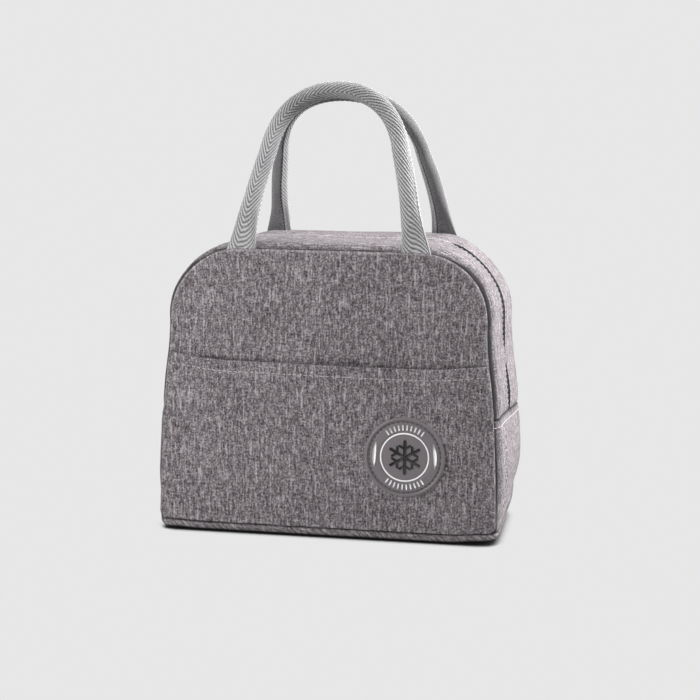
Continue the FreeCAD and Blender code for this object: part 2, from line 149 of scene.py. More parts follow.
def soft_shell():
    """The whole bag as one closed cushion, filled by a cloth simulation with its seams held."""
    shape = bmesh.new()
    half = []
    for along in np.linspace(-FOLD / cos(LEAN), STRIP_LENGTH / 2, 60):
        x, z, _, _ = strip_frame(along)
        half.append((float(x), float(z)))
    loop = half + [(-x, z) for x, z in reversed(half[:-1])]
    shape.faces.new([shape.verts.new((x, -HALF_DEPTH, z)) for x, z in loop])
    rear = bmesh.ops.extrude_face_region(shape, geom=list(shape.faces))["geom"]
    moved = [item for item in rear if isinstance(item, bmesh.types.BMVert)]
    bmesh.ops.translate(shape, verts=moved, vec=(0, 2 * HALF_DEPTH, 0))
    bmesh.ops.recalc_face_normals(shape, faces=shape.faces)
    mesh = bpy.data.meshes.new("soft_shell")
    shape.to_mesh(mesh)
    shape.free()
    shell = bpy.data.objects.new("soft_shell", mesh)
    bpy.context.scene.collection.objects.link(shell)
    remesh = shell.modifiers.new("remesh", "REMESH")
    remesh.mode = "VOXEL"
    remesh.voxel_size = VOXEL
    apply_modifiers(shell)
    held = shell.vertex_groups.new(name="seams")
    for vertex in shell.data.vertices:
        x, y, z = vertex.co
        at_seam = HALF_DEPTH - abs(y) < HELD
        at_fold = abs(z - FOLD) < HELD and abs(x) > HALF_WIDTH / 2
        at_zip = abs(y) < 4 * MM and z > FOLD
        if z < HELD or wall_inset(x, z, 0.0) < HELD and (at_seam or at_fold or at_zip):
            held.add([vertex.index], 1.0, "REPLACE")
    rest = np.array([vertex.co for vertex in shell.data.vertices])
    settings = shell.modifiers.new("cloth", "CLOTH").settings
    for key, value in CLOTH.items():
        setattr(settings, key, value)
    settings.effector_weights.gravity = 0.0
    scene = bpy.context.scene
    for number in range(1, 21):
        scene.frame_set(number)
    view = bpy.context.evaluated_depsgraph_get()
    grown = shell.evaluated_get(view).to_mesh()
    move = np.array([vertex.co for vertex in grown.vertices]) - rest
    length = np.linalg.norm(move, axis=1, keepdims=True)
    swollen = rest + move * np.minimum(1.0, SWELL_CAP / np.maximum(length, 1e-9))
    faces = [tuple(polygon.vertices) for polygon in shell.data.polygons]
    shell.evaluated_get(view).to_mesh_clear()
    scene.frame_set(1)
    bpy.data.objects.remove(shell)
    return BVHTree.FromPolygons([tuple(point) for point in swollen], faces)


SHELL = soft_shell()


def swelling(point, normal):
    """How far the filled shell stands outside a point of the plain shape."""
    if SHELL is None:
        return 2 * MM
    hit = SHELL.ray_cast(Vector(point) - Vector(normal) * PROBE, Vector(normal), 40 * MM)[3]
    return 0.0 if hit is None else hit - PROBE


class Field:
    """A swelling in metres on a regular grid of (u, v), read by smooth interpolation."""

    def __init__(self, u_range, v_range, sample):
        self.low = u_range[0], v_range[0]
        us, vs = (np.arange(low, high + FIELD_STEP, FIELD_STEP) for low, high in (u_range, v_range))
        self.grid = np.array([[sample(u, v) for v in vs] for u in us])
        for _ in range(2):
            wide = np.pad(self.grid, 1, mode="edge")
            near = wide[:-2, 1:-1] + wide[2:, 1:-1] + wide[1:-1, :-2] + wide[1:-1, 2:]
            self.grid = (near + 4 * self.grid) / 8

    def __call__(self, u, v):
        a, b = (np.clip((np.asarray(value) - low) / FIELD_STEP, 0, count - 1.001)
                for value, low, count in zip((u, v), self.low, self.grid.shape))
        i, j = a.astype(int), b.astype(int)
        return from_corners(lambda di, dj: self.grid[i + di, j + dj], a - i, b - j)


def wall_field(sign):
    reach = HALF_WIDTH + 5 * MM
    return Field((-reach, reach), (0, HEIGHT), lambda x, z: swelling((x, sign * HALF_DEPTH, z), (0, sign, 0)))


def strip_sample(along, y):
    x, z, nx, nz = (float(part) for part in strip_frame(along))
    return swelling((x, y, z), (nx, 0, nz))


# Each wall's swelling and the seed of its waves, for the front (-1) and the rear (1).
WALLS = {-1: (wall_field(-1), 11), 1: (wall_field(1), 21)}
strip_swell = Field((-FOLD, STRIP_LENGTH + FOLD), (-HALF_DEPTH, HALF_DEPTH), strip_sample)

# ---- soft surfaces


def wall_out(x, z, sign):
    """How far a front or rear wall stands out from its flat plane."""
    swell, seed = WALLS[sign]
    inset = wall_inset(x, z, FLOOR_SEAM)
    waves = 0.5 * MM * noise(x, z, 38 * MM, seed) + 0.22 * MM * noise(x, z, 15 * MM, seed + 1)
    pucker = 0.28 * MM * noise(x, z, 6.5 * MM, seed + 2) * fade(inset, 7 * MM)
    return (np.clip(swell(x, z), 0, 5 * MM) * 0.55 * smooth(inset, 28 * MM)
            + waves * smooth(inset, 10 * MM) + pucker)


def slider_hold(y):
    """How firmly the zip's slider holds the cloth beside it down, from 0 to 0.9."""
    return 0.9 * hump(y, 11 * MM)


def strip_out(along, y):
    """How far the zip strip or a lower side stands out from the plain arch."""
    seam = HALF_DEPTH - np.abs(y)
    above_floor = np.minimum(along, STRIP_LENGTH - along) + (FOLD - FLOOR_SEAM) / cos(LEAN)
    plump = 3.4 * MM * smooth(seam, 11 * MM) * (0.1 + 0.9 * smooth(above_floor, 34 * MM))
    plump = plump - 2.2 * MM * fade(np.abs(seam), 2.6 * MM)
    # One lip laps over the other on top, and again on a stretch of each side.
    lapped = smooth(strip_frame(along)[3] - 0.925, 0.065)
    lapped = np.maximum(lapped, 0.8 * hump(along - 0.56 * SIDE_RUN, 0.13 * SIDE_RUN))
    rise = np.where(y < 0, 2.1 * lapped - 1.1, 0.6 - 1.6 * lapped) * MM
    lip = rise * fade(np.abs(y) - ZIP_EDGE, 3.5 * MM)
    lip = lip * smooth(along + 2 * MM, 12 * MM) * smooth(STRIP_LENGTH + 2 * MM - along, 12 * MM)
    swell = np.clip(strip_swell(along, y), 0, 4 * MM) * 0.4 * smooth(seam, 16 * MM)
    waves = 0.35 * MM * noise(along, y, 30 * MM, 31) + 0.2 * MM * noise(along, y, 12 * MM, 32)
    pucker = 0.35 * MM * noise(along, 3 * y, 7 * MM, 33) * fade(seam, 8 * MM)
    pinch = -0.9 * MM * fade(np.minimum(np.abs(along), np.abs(STRIP_LENGTH - along)), 6 * MM)
    below = smooth(-along, 14 * MM) * smooth(along + FOLD - 8 * MM, 16 * MM)
    crease = 1.2 * MM * hump(y + 34 * MM - 0.08 * along, 2.4 * MM) * below
    past = along - STRIP_LENGTH
    flush = slider_hold(y) * smooth(past + SLIDER_REACH, 20 * MM) * smooth(34 * MM - past, 14 * MM)
    return (plump + lip + swell + crease + waves * smooth(seam, 8 * MM) + pucker + pinch) * (1 - flush)


def settle(x, y, z):
    """Points of the filled bag as it stands: full flanks, a waist, and a rear that sags and rounds."""
    x, y, z = np.broadcast_arrays(x, y, z)
    to_rear = smooth(y + HALF_DEPTH, 2 * HALF_DEPTH)
    on_left = x < 0
    free = np.where(on_left, 1 - slider_hold(y), 1.0)
    flank = np.clip(np.abs(x) / HALF_WIDTH, 0, 1.1) ** 3
    belly = (0.5 + 2.0 * to_rear) * smooth(z - 12 * MM, 40 * MM) * smooth(138 * MM - z, 62 * MM)
    waist = (3.1 - 0.9 * to_rear) * hump(z - 130 * MM, 31 * MM)
    corner = np.clip(2 * (np.abs(x) - ARC_X) * (z - ARC_Z) / TOP_RADIUS ** 2, 0, 1.2)
    corner = np.where((np.abs(x) > ARC_X) & (z > ARC_Z), corner, 0.0) ** 1.5
    corner = corner * np.where(on_left, 1.6 + 2.6 * to_rear, 3.0 * to_rear) * MM
    droop = 6.5 * MM * to_rear * flank * hump(z - FOLD, 26 * MM)
    x = x + np.sign(x) * ((belly - waist) * MM * flank * free - 0.7 * corner)
    lift = np.where(on_left, 0.9 + 2.4 * to_rear, 2.6 + 3.4 * to_rear) * MM
    lift = lift * smooth(np.abs(x) / HALF_WIDTH - 0.68, 0.34) * smooth(26 * MM - z, 26 * MM)
    z = z - 0.7 * corner - droop * free + lift
    cy, cz = HALF_DEPTH - TUCK_RADIUS, TUCK_RADIUS
    vy, vz = y - cy, cz - z
    inside = (vy > 0) & (vz > 0)
    scale = np.where(inside, np.maximum(vy, vz) / np.maximum(np.hypot(vy, vz), 1e-9), 1.0)
    return np.stack([x, np.where(inside, cy + vy * scale, y), np.where(inside, cz - vz * scale, z)], -1)


def strip_points(along, y, depth=0.0):
    x, z, nx, nz = strip_frame(along)
    out = strip_out(along, y) - depth
    return settle(x + out * nx, y, z + out * nz)


# ---- meshes


def make_mesh(name, points, faces, uv):
    mesh = bpy.data.meshes.new(name)
    mesh.from_pydata([tuple(p) for p in points], [], faces)
    layer = mesh.uv_layers.new(name="cloth")
    loops = np.zeros(len(mesh.loops), int)
    mesh.loops.foreach_get("vertex_index", loops)
    layer.data.foreach_set("uv", np.asarray(uv, float)[loops].ravel())
    mesh.polygons.foreach_set("use_smooth", np.ones(len(mesh.polygons), bool))
    mesh.update()
    piece = bpy.data.objects.new(name, mesh)
    bpy.context.scene.collection.objects.link(piece)
    return piece


def grid_faces(index, flip=False):
    a, b, c, d = index[:-1, :-1], index[1:, :-1], index[1:, 1:], index[:-1, 1:]
    order = (a, d, c, b) if flip else (a, b, c, d)
    return [tuple(int(i) for i in face) for face in np.stack(order, -1).reshape(-1, 4)]


def tube_faces(rows, columns, first=0, flip=False, caps=(0, 0)):
    """Faces of rings that close on themselves. caps says which way round each end's face goes."""
    index = first + np.arange(rows * columns).reshape(rows, columns)
    faces = grid_faces(np.concatenate([index, index[:, :1]], 1), flip)
    return faces + [tuple(int(i) for i in ring[::way]) for ring, way in zip((index[0], index[-1]), caps) if way]


def tubes(name, rings, uv_axes, flip=False, caps=(1, -1)):
    """One mesh of many equal tubes, each given by its rings of points."""
    rows, columns = rings[0].shape[:2]
    faces = []
    for number in range(len(rings)):
        faces += tube_faces(rows, columns, number * rows * columns, flip, caps)
    points = np.concatenate(rings).reshape(-1, 3)
    return make_mesh(name, points, faces, points[:, uv_axes])


def grid_piece(name, points, u, v, flip=False):
    """A piece from a rectangular grid of points with cloth coordinates u and v in metres."""
    shape = points.shape[:2]
    uv = np.stack([np.broadcast_to(u, shape), np.broadcast_to(v, shape)], -1)
    faces = grid_faces(np.arange(shape[0] * shape[1]).reshape(shape), flip)
    return make_mesh(name, points.reshape(-1, 3), faces, uv.reshape(-1, 2))


def keep(piece, name, values):
    """Keep a number for each point of a piece, which its material reads."""
    layer = piece.data.attributes.new(name, "FLOAT", "POINT")
    layer.data.foreach_set("value", np.asarray(values, np.float32).ravel())


def paint_seam_shade(piece, shade):
    """Keep the painted shade of the cloth at each point, where it turns into a seam."""
    keep(piece, "painted_seam_shade", np.clip(shade, 0, 1))
    return piece


def rolled_edge(radius, shift, steps=6, under=radians(130)):
    """Inset and depth of a cloth edge that rolls under into a seam, from the hidden end outwards."""
    turn = np.linspace(under, 0, steps)
    return list(zip(shift + radius * (1 - np.sin(turn)), radius * (1 - np.cos(turn))))


def arc(x, y, radius, start, end, steps):
    turn = np.linspace(start, end, steps)
    return np.stack([x + radius * np.cos(turn), y + radius * np.sin(turn)], 1)


def joined(low, high, steps):
    """Two arcs and the straight line between them."""
    share = np.linspace(0, 1, steps)[1:-1, None]
    return np.concatenate([low, low[-1] * (1 - share) + high[0] * share, high])


def side_path(inset, low, foot_radius):
    """Right edge of a wall at an inset, from the bottom edge to the flat top."""
    foot_z = low + foot_radius
    foot_x = HALF_WIDTH - (foot_radius + foot_z * sin(LEAN)) / cos(LEAN)
    return joined(arc(foot_x, foot_z, foot_radius - inset, -pi / 2, LEAN, 7),
                  arc(ARC_X, ARC_Z, TOP_RADIUS - inset, LEAN, pi / 2, 34), 44)


def base_path(inset, corner=8 * MM):
    """Right edge of the base, from its front to its rear, as (x, y)."""
    cx, cy, radius = HALF_WIDTH - corner, HALF_DEPTH - corner, corner - inset
    return joined(arc(cx, -cy, radius, -pi / 2, 0, 7), arc(cx, cy, radius, 0, pi / 2, 7), 50)


def outer_loop(grid):
    """The outer loop of a grid, anticlockwise."""
    return np.concatenate([grid[0, :-1], grid[:-1, -1], grid[-1, :0:-1], grid[:0:-1, 0]])


def panel_piece(name, path_at, profile, place, columns=96, flip=False):
    """A panel with a rolled edge, and each point's inset and depth in that edge.

    path_at gives its right edge at an inset. place turns (u, v, depth) arrays into points.
    """
    rings = len(profile) - 1
    points, uvs, edge, loops = [], [], [], []
    for number, (inset, depth) in enumerate(profile):
        path = path_at(inset)
        grid = np.stack([path[:, :1] * np.linspace(-1, 1, columns), np.repeat(path[:, 1:], columns, 1)], -1)
        index = np.arange(len(path) * columns).reshape(-1, columns)
        count = len(outer_loop(index))
        where = outer_loop(grid) if number < rings else grid.reshape(-1, 2)
        loops.append(count * number + (np.arange(count) if number < rings else outer_loop(index)))
        points.append(place(where[:, 0], where[:, 1], np.full(len(where), depth)))
        uvs.append(where + depth)
        edge.append(np.tile([inset, depth], (len(where), 1)))
    closed = np.stack([np.append(loop, loop[0]) for loop in loops])
    faces = grid_faces(closed, not flip) + grid_faces(index + count * rings, not flip)
    piece = make_mesh(name, np.concatenate(points), faces, np.concatenate(uvs))
    return piece, np.concatenate(edge).T


def edge_stations(low, high, edge_low, edge_high, step):
    """Places and depths across a panel whose two edges both roll under."""
    first = [(low + inset, depth) for inset, depth in edge_low]
    last = [(high - inset, depth) for inset, depth in reversed(edge_high)]
    start, end = first[-1][0], last[0][0]
    count = max(2, int(round((end - start) / step)))
    middle = [(start + (end - start) * k / count, 0.0) for k in range(1, count)]
    return np.array(first + middle + last).T


WALL_EDGE = rolled_edge(1.1 * MM, 0.3 * MM) + [(1.9 * MM, 0.0), (2.6 * MM, 0.0), (3.6 * MM, 0.0)]
SEAM_EDGE = rolled_edge(2.0 * MM, 1.5 * MM)
POCKET_EDGE = rolled_edge(1.4 * MM, 0.7 * MM) + [(3.0 * MM, 0.0)]
FOOT_EDGE = rolled_edge(1.3 * MM, 0.3 * MM)
FOLDED_EDGE = rolled_edge(0.8 * MM, 0.0, under=radians(165))
# The base cloth's inset and height in mm: out of the seam, round and under the bag.
BASE_EDGE = [(2.4, 7.6), (1.0, 7.3), (0.2, 6.5), (-0.2, 5.4), (-0.2, 4.2), (0.2, 3.2), (0.7, 2.4), (1.5, 1.6),
             (2.8, 0.9), (4.4, 0.4), (6.4, 0.0)]


def wall(name, sign):
    """The front (sign -1) or rear (sign 1) wall's cloth."""
    piece, (inset, depth) = panel_piece(
        name, lambda inset: side_path(inset, FLOOR_SEAM, FOOT_RADIUS), WALL_EDGE,
        lambda x, z, depth: settle(x, sign * (HALF_DEPTH + wall_out(x, z, sign) - depth), z),
        columns=120, flip=sign > 0)
    x, _, z = np.array([vertex.co for vertex in piece.data.vertices]).T
    # Painted highlight: a thin light line along the wall's rolled rim, broken up by noise.
    painted_rim_highlight = 0.34 * (0.6 + 0.4 * noise(x, z, 4 * MM, 61))
    keep(piece, "painted_edge_highlight", painted_rim_highlight * hump(inset - 1.3 * MM, 0.45 * MM))
    # Painted shade: a dark line on the front wall along the pocket's mouth, where the gap lies in shade, and dark
    # cloth where the rim rolls under.
    mouth = 0.8 * hump(z - mouth_height(x), 1.3 * MM) * (sign < 0)
    return paint_seam_shade(piece, np.maximum(mouth, 0.9 * smooth(depth - 0.5 * MM, 0.5 * MM)))


def painted_seam_shade(across, along):
    """Painted shade on cloth at a distance from a long seam and from an end seam."""
    groove = np.maximum(0.98 * smooth(8.0 * MM - across, 3.2 * MM), 0.34 * smooth(19 * MM - across, 13 * MM))
    return np.maximum(groove, 0.85 * hump(np.maximum(along, 0), 1.5 * MM))


def zip_strip(name, sign):
    """Half of the strip that runs over the top, from its wall's seam to its edge of the zip."""
    along, deep_along = edge_stations(0, STRIP_LENGTH, FOOT_EDGE, FOOT_EDGE, 1.8 * MM)
    across, deep_across = edge_stations(ZIP_EDGE, HALF_DEPTH, FOLDED_EDGE, SEAM_EDGE, 1.9 * MM)
    along = along[:, None]
    grid = strip_points(along, sign * across, deep_along[:, None] + deep_across)
    piece = grid_piece(name, grid, across, along, flip=sign > 0)
    # Painted shade: dark cloth beside the seam, narrower on the top, and on both folded lips of the zip's slit.
    seam = HALF_DEPTH - across + 2.6 * MM * smooth(strip_frame(along)[3] - 0.75, 0.25)
    shade = painted_seam_shade(seam, np.minimum(along, STRIP_LENGTH - along))
    folded = 0.95 * smooth(ZIP_EDGE + (1.5 if sign > 0 else 0.9) * MM - across, 0.7 * MM)
    # Painted highlight: a light line along the front lip of the zip's slit.
    painted_lip_highlight = 0.55 * hump(across - ZIP_EDGE - 1.3 * MM, 0.8 * MM) * (sign < 0)
    keep(piece, "painted_edge_highlight", np.broadcast_to(painted_lip_highlight, grid.shape[:2]))
    return paint_seam_shade(piece, np.maximum(shade, folded))


def lower_side(name, on_right):
    """A side wall's cloth below the zip's end."""
    low = (FLOOR_SEAM - FOLD) / cos(LEAN)
    along, deep_along = edge_stations(low, 0, FOOT_EDGE, FOOT_EDGE, 2 * MM)
    across, deep_across = edge_stations(-HALF_DEPTH, HALF_DEPTH, SEAM_EDGE, SEAM_EDGE, 2 * MM)
    along = along[:, None]
    grid = strip_points(along if on_right else STRIP_LENGTH - along, across, deep_along[:, None] + deep_across)
    piece = grid_piece(name, grid, across, along, flip=not on_right)
    # Painted shade: dark cloth beside both seams and at both ends.
    seam = HALF_DEPTH - np.abs(across) + 0.9 * MM
    return paint_seam_shade(piece, painted_seam_shade(seam, np.minimum(-along, along - low)))


def base():
    """The base cloth: it rolls out of the seam, turns under the bag and lies flat."""
    profile = [(inset * MM, height * MM) for inset, height in BASE_EDGE]
    piece, (_, height) = panel_piece("base_cloth", base_path, profile, settle, flip=True)
    # Painted shade: the underside goes black where the cloth turns under the bag, and the roll goes dark where it
    # enters the seam.
    return paint_seam_shade(piece, 0.97 * np.maximum(smooth(2.6 * MM - height, 1.2 * MM),
                                                smooth(height - 5.6 * MM, 0.8 * MM)))


# ---- pocket, stitches and badge

HEM = 6.2 * MM
HEM_RETURN = 10 * MM
HEM_RADIUS = 0.75 * MM


def mouth_height(x):
    """The pocket's mouth droops a little between its two ends, and is level with neither."""
    return MOUTH - 1.0 * MM * x / HALF_WIDTH - 3.4 * MM * smooth(1.35 * (1 - (x / HALF_WIDTH) ** 2))


def pocket_out(x, z):
    """How far the pocket's cloth stands out from the front wall's flat plane."""
    side = np.maximum(HALF_WIDTH - z * tan(LEAN) - np.abs(x), 0)
    fullness = 2.3 * MM * smooth(side, 36 * MM) * smooth(np.maximum(z - FLOOR_SEAM, 0), 50 * MM)
    gape = 2.0 * MM * hump(x - 14 * MM, 48 * MM) * smooth(z - MOUTH + 34 * MM, 34 * MM)
    hem = -0.35 * MM * hump(mouth_height(x) - HEM - z, 0.9 * MM)
    waves = 0.35 * MM * noise(x, z, 24 * MM, 41) * smooth(side, 12 * MM)
    return wall_out(x, z, -1) * 0.8 + 0.7 * MM + fullness + gape + hem + waves


def pocket_points(x, z, depth=0.0):
    return settle(x, -(HALF_DEPTH + pocket_out(x, z) - depth), z)


def pocket_half_width(z):
    """Half the pocket's width at a height, with its rounded lower corners."""
    drop = np.clip(FLOOR_SEAM + FOOT_RADIUS - z, 0, FOOT_RADIUS)
    return HALF_WIDTH - z * tan(LEAN) - FOOT_RADIUS + np.sqrt(FOOT_RADIUS ** 2 - drop ** 2)


def pocket_cloth():
    """The slip pocket: sewn in along its sides and floor, with a folded hem along its mouth."""
    up, deep_up = edge_stations(FLOOR_SEAM, MOUTH, POCKET_EDGE, [(0.0, 0.0)], 1.6 * MM)
    share = (up - FLOOR_SEAM) / (MOUTH - FLOOR_SEAM)
    columns = np.linspace(-1, 1, 110)
    insets, depths = np.array(POCKET_EDGE).T
    deep = np.concatenate([depths[:-1], np.zeros_like(columns), depths[:-1][::-1]])
    grid = []
    for height, level, depth_up in zip(up, share, deep_up):
        reach = float(pocket_half_width(height))
        edge = reach - insets[:-1]
        x = np.concatenate([-edge, columns * (reach - insets[-1]), edge[::-1]])
        z = FLOOR_SEAM + level * (mouth_height(x) - FLOOR_SEAM)
        grid.append(pocket_points(x, z, deep + depth_up))
    rim = grid[-1]
    for turn in np.linspace(0, pi, 7)[1:]:
        grid.append(rim + HEM_RADIUS * np.array([0, 1 - cos(turn), sin(turn)]))
    for drop in (2 * MM, 5 * MM, HEM_RETURN):
        grid.append(rim + np.array([0, 2 * HEM_RADIUS, -drop]))
    grid = np.array(grid)
    piece = grid_piece("front_pocket", grid, grid[..., 0], grid[..., 2] + grid[..., 1])
    # Painted shade: dark cloth where the pocket turns under at its sides and floor.
    turned = np.zeros(grid.shape[:2])
    turned[:len(deep_up)] = np.maximum(deep_up[:, None], deep)
    return paint_seam_shade(piece, 0.95 * smooth(turned - 0.35 * MM, 0.5 * MM))


def stitch_run(name, line, normal, length=2.6 * MM, gap=0.9 * MM, radius=0.26 * MM):
    """Thread stitches sewn along a line of points on a surface."""
    run = np.concatenate([[0], np.cumsum(np.linalg.norm(np.diff(line, axis=0), axis=1))])
    normals = np.broadcast_to(np.asarray(normal, float), line.shape)
    shares, around = np.linspace(0, 1, 6), np.linspace(0, 2 * pi, 6, endpoint=False)[:, None]
    girth = radius * np.sqrt(np.clip(1 - (2 * shares - 1) ** 4, 0.05, 1))
    rings = []
    for start in np.arange(0, run[-1] - length, length + gap):
        places = start + shares * length
        centre, out = (np.stack([np.interp(places, run, part[:, k]) for k in range(3)], -1)
                       for part in (line, normals))
        centre = centre + out * (np.sin(pi * shares)[:, None] * 0.3 * MM - 0.08 * MM)
        along = centre[-1] - centre[0]
        side = np.cross(along / np.linalg.norm(along), out)
        rings.append(centre[:, None] + girth[:, None, None] * (
            np.cos(around) * out[:, None] + np.sin(around) * side[:, None]))
    return tubes(name, rings, [0, 2], caps=(-1, 1))


BADGE_LOW, BADGE_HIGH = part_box("round_badge")
BADGE_RADIUS = 1.03 * (BADGE_HIGH.x - BADGE_LOW.x) / 2
BADGE_X, BADGE_Z = (BADGE_HIGH.x + BADGE_LOW.x) / 2, (BADGE_HIGH.z + BADGE_LOW.z) / 2 + 1.6 * MM
BADGE_BACK = HALF_DEPTH + float(pocket_out(np.float64(BADGE_X), np.float64(BADGE_Z))) - 0.6 * MM
BADGE_LEVEL = 1.05 * MM
MARK_HEIGHT = 0.45 * MM
# From the rim inwards: share of the radius, and height in mm.
BADGE_PROFILE = [(1.0, -1.2), (1.0, 0.7), (0.992, 1.15), (0.975, 1.42), (0.955, 1.5), (0.935, 1.42), (0.92, 1.15),
                 (0.912, 0.82), (0.9, 0.72), (0.88, 0.72), (0.868, 0.86), (0.855, 1.05), (0.84, 1.08),
                 (0.7, 1.08), (0.635, 1.08), (0.625, 0.86), (0.6, 0.84), (0.56, 0.84), (0.545, 0.98),
                 (0.5, 1.02), (0.35, 1.06), (0.2, 1.08), (0.1, 1.08), (0.02, 1.08)]
# The light ring's section: radius and height in mm.
BADGE_RING = [(14.65, 0.3), (14.7, 1.25), (14.95, 1.42), (15.35, 1.42), (15.6, 1.25), (15.65, 0.3)]


def badge_points(radius, angle, height):
    """A point of the badge: it follows the pocket's swelling a little."""
    x, z = BADGE_X + radius * np.cos(angle), BADGE_Z + radius * np.sin(angle)
    level = 0.55 * (HALF_DEPTH + pocket_out(x, z)) + 0.45 * BADGE_BACK
    return np.stack(np.broadcast_arrays(x, -(level + height), z), -1)


def badge():
    """A round moulded rubber patch: rim, sewing groove, band and dished middle."""
    radii, heights = np.array(BADGE_PROFILE).T[:, :, None]
    grid = badge_points(radii * BADGE_RADIUS, np.linspace(0, 2 * pi, 129)[:-1], heights * MM)
    return tubes("badge", [grid], [0, 2], caps=(0, 1))


def raised(outline, top, height):
    """The levels of a mark that stands on the badge: its foot, its shoulder and its top."""
    return [(outline, 0.0), (outline, 0.7 * height), (top, height)]


def raised_stroke(start, end, width, height=MARK_HEIGHT):
    """A rounded bar between two places given as (across, up) from the badge's middle."""
    along = (end - start) / np.linalg.norm(end - start)
    outline = []
    for point, way in ((end, along), (start, -along)):
        for turn in atan2(way[1], way[0]) + np.linspace(-pi / 2, pi / 2, 6):
            outline.append(point + width / 2 * np.array([cos(turn), sin(turn)]))
    outline = np.array(outline)
    inwards = (start + end) / 2 - outline
    inwards /= np.maximum(np.linalg.norm(inwards, axis=1, keepdims=True), 1e-9)
    return raised(outline, outline + 0.09 * width * inwards, height)


def raised_crescent(middle, half_length, width):
    """A plain crescent on the badge's band, pointed at both ends, at an angle from its middle."""
    share = np.linspace(-1, 1, 15)
    turn = middle + share * half_length
    outer = np.full_like(share, 20.4 * MM)
    inner = outer - width * np.clip(1 - share ** 2, 0, 1) ** 0.8 - 0.15 * MM
    radius, turn = np.concatenate([outer, inner[::-1]]), np.concatenate([turn, turn[::-1]])
    outline = np.stack([radius * np.cos(turn), radius * np.sin(turn)], -1)
    centre = 19.4 * MM * np.array([cos(middle), sin(middle)])
    return raised(outline, outline + 0.06 * (centre - outline), MARK_HEIGHT)


def badge_relief(name, marks, rings=(), level=BADGE_LEVEL):
    """One mesh of marks standing on the badge, and of round rings given by their sections."""
    blocks, faces, first = [], [], 0
    angle = np.linspace(0, 2 * pi, 121)[:-1]
    shapes = [([badge_points(np.hypot(*edge.T), np.arctan2(*edge.T[::-1]), level + height) for edge, height in mark],
               False, (0, 1)) for mark in marks]
    shapes += [([badge_points(radius * MM, angle, height * MM) for radius, height in section], True, (0, 0))
               for section in rings]
    for levels, flip, caps in shapes:
        faces += tube_faces(len(levels), len(levels[0]), first, flip, caps)
        first += len(levels) * len(levels[0])
        blocks += levels
    flat = np.concatenate(blocks)
    return make_mesh(name, flat, faces, flat[:, [0, 2]])


def badge_marks():
    """The badge's light marks: a ring, plain ticks above and below it, and a crescent on each side."""
    marks = []
    for degrees in [*range(54, 130, 8), *range(234, 310, 8)]:
        way = np.array([cos(radians(degrees)), sin(radians(degrees))])
        marks.append(raised_stroke(way * 17.6 * MM, way * 20.3 * MM, 0.95 * MM))
    for degrees in (4, 176):
        marks.append(raised_crescent(radians(degrees), radians(23), 2.1 * MM))
    return badge_relief("badge_marks", marks, [BADGE_RING])


def badge_star():
    """A dark six-armed frost star in the badge's middle."""
    marks = []
    for turn in np.radians(np.arange(30, 390, 60)):
        way, cross = np.array([cos(turn), sin(turn)]), np.array([-sin(turn), cos(turn)])
        marks.append(raised_stroke(way * 1.0 * MM, way * 10.2 * MM, 1.9 * MM))
        for sign in (-1, 1):
            branch = way * 0.5 + cross * sign * 0.866
            marks.append(raised_stroke(way * 5.4 * MM, way * 5.4 * MM + branch * 3.8 * MM, 1.5 * MM, 0.42 * MM))
    return badge_relief("badge_star", marks, level=BADGE_LEVEL - 0.03 * MM)


def badge_seam():
    """Short stitches in the badge's groove that sew it to the pocket."""
    line = badge_points(0.885 * BADGE_RADIUS, np.linspace(0, 2 * pi, 400), 0.95 * MM)
    return stitch_run("badge_stitches", line, (0, -1, 0), 2.0 * MM, 1.0 * MM, 0.24 * MM)


# ---- handles

# Each handle lies in a plane that turns about its sewn line and leans towards the middle of the bag: half
# the distance between its feet, the lean of its legs, its height, the plane's lean and how far its sides draw in.
HANDLE_SHAPES = {
    "front": (55.0 * MM, radians(9.7), 103.5 * MM, radians(21.0), 0.05),
    "rear": (57.5 * MM, radians(5.3), 120.5 * MM, radians(38.5), 0.08),
}
HANDLE_OUT = 64 * MM
HANDLE_BASE = 186 * MM
HANDLE_GIRTH = 35 * MM
BURIED = 5 * MM
RIB_PITCH = 3.3 * MM
RIB_SLOPE = 1.65
RIB_SPINE = 20.0 * MM
ROPE_PITCH = 3.1 * MM


def handle_line(name, steps):
    """A handle's centre line in its own plane, from its right foot to its left foot."""
    spread, lean, height, _, squeeze = HANDLE_SHAPES[name]
    radius = (spread * cos(lean) - height * sin(lean)) / (1 - sin(lean))
    centre = height - radius
    leg = (centre + radius * sin(lean)) / cos(lean) + BURIED
    bend = radius * (pi - 2 * lean)
    run = np.linspace(0, 2 * leg + bend, steps)
    angle = lean + np.clip((run - leg) / radius, 0, pi - 2 * lean)
    before, after = np.maximum(leg - run, 0), np.maximum(run - leg - bend, 0)
    x = radius * np.cos(angle) + (before - after) * sin(lean)
    up = centre + radius * np.sin(angle) - (before + after) * cos(lean)
    return x * (1 - squeeze * hump(up / height - 0.72, 0.26)), up, np.cos(angle), np.sin(angle), run


def handle_place(name, x, up, out):
    """Points of a handle from across, up and outward distances in its own plane."""
    tilt = HANDLE_SHAPES[name][3]
    y = HANDLE_OUT - up * sin(tilt) + out * cos(tilt)
    z = HANDLE_BASE + up * cos(tilt) + out * sin(tilt)
    return np.stack(np.broadcast_arrays(x, -y if name == "front" else y, z), -1)


def superellipse(part, power):
    return np.sign(part) * np.abs(part) ** (2 / power)


